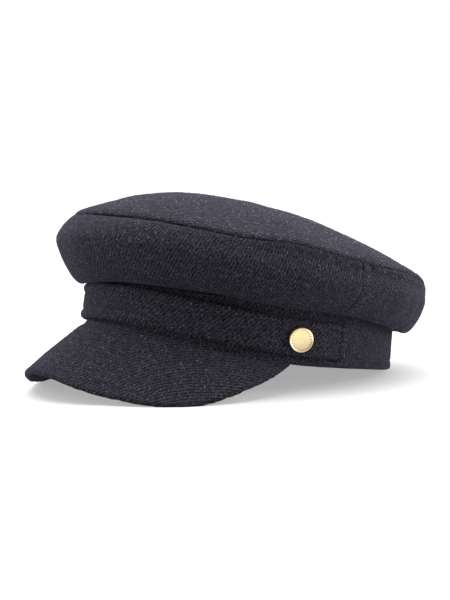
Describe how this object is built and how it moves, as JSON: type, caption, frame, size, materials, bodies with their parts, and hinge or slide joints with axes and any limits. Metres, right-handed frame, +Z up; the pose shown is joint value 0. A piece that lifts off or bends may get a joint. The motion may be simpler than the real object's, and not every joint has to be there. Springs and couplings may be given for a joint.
{
  "type": "peaked cap",
  "caption": "Soft peaked cap with a wide low crown over an upright headband, a strap across the front with a flat button at each side, and a curved stiff peak.",
  "frame": {"origin": "middle of the footprint box, on the surface that the cap rests on", "axes": "+Z up; the peak points towards -Y and the back of the headband towards +Y; +X is the wearer's left"},
  "size_m": [0.212, 0.2762, 0.1223],
  "materials": {
    "wool_twill": "matt, napped",
    "gilt_brass": "polished"
  },
  "bodies": {
    "root": {"crown_top": "wool_twill", "crown_side_front": "wool_twill", "crown_side_back": "wool_twill", "headband": "wool_twill", "strap": "wool_twill", "peak": "wool_twill", "button_left": "gilt_brass", "button_right": "gilt_brass"}
  },
  "joints": []
}
